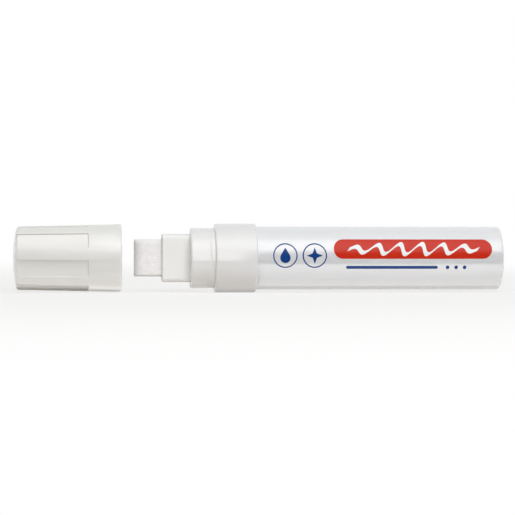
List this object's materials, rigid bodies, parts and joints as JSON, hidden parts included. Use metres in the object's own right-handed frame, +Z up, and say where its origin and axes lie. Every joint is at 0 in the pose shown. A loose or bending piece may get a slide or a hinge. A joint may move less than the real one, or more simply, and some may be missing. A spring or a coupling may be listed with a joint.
{
  "type": "liquid chalk marker",
  "caption": "Broad white liquid chalk marker lying on a table with its fluted cap pulled off in line, showing the flat felt nib that opens a spring valve when pressed.",
  "frame": {"origin": "on the table, under the middle of cap and marker together", "axes": "+X along the marker from nib to tail, +Z up, -Y towards the viewer of the picture"},
  "size_m": [0.1986, 0.028, 0.028],
  "materials": {
    "barrel_plastic": "glossy white polypropylene",
    "collar_plastic": "satin white polypropylene",
    "neck_plastic": "satin white polypropylene",
    "mouthpiece_plastic": "satin white polypropylene",
    "nib_felt": "pressed white fibre",
    "cap_plastic": "satin white polypropylene",
    "inner_cap_plastic": "soft white polyethylene",
    "valve_plastic": "natural acetal",
    "seal_rubber": "grey soft rubber",
    "valve_steel": "bright stainless wire and balls",
    "red_print": "red ink printed on the barrel",
    "blue_print": "blue ink printed on the barrel",
    "white_print": "white ink printed on the barrel"
  },
  "bodies": {
    "marker": {"barrel": "barrel_plastic", "collar": "collar_plastic", "neck": "neck_plastic", "neck_gasket": "seal_rubber", "mouthpiece": "mouthpiece_plastic", "valve_seat": "valve_plastic", "seat_o_ring": "seal_rubber", "valve_cage": "valve_plastic", "valve_spring": "valve_steel"},
    "cap": {"cap_shell": "cap_plastic", "inner_cap": "inner_cap_plastic", "cap_seal": "seal_rubber"},
    "nib_unit": {"nib": "nib_felt", "nib_carrier": "valve_plastic"},
    "valve": {"valve_stem": "valve_plastic", "valve_seal": "seal_rubber"},
    "first_ball": {"mixing_ball_1": "valve_steel"},
    "second_ball": {"mixing_ball_2": "valve_steel"}
  },
  "joints": [
    {"name": "cap_slide", "type": "slide", "parent": "marker", "child": "cap", "axis": [1, 0, 0], "range_m": [0, 0.0375]},
    {"name": "nib_press", "type": "slide", "parent": "marker", "child": "nib_unit", "axis": [1, 0, 0], "range_m": [0, 0.002], "stiffness_N_per_m": 600, "springref_m": -0.004},
    {"name": "valve_open", "type": "slide", "parent": "marker", "child": "valve", "axis": [1, 0, 0], "range_m": [0, 0.002], "deforming": ["valve_spring"]},
    {"name": "first_ball_roll", "type": "slide", "parent": "marker", "child": "first_ball", "axis": [1, 0, 0], "range_m": [-0.0405, 0.0484]},
    {"name": "second_ball_roll", "type": "slide", "parent": "marker", "child": "second_ball", "axis": [1, 0, 0], "range_m": [-0.0405, 0.0484]}
  ],
  "couplings": [
    {"joint": "valve_open", "follows": "nib_press", "ratio": 1}
  ]
}
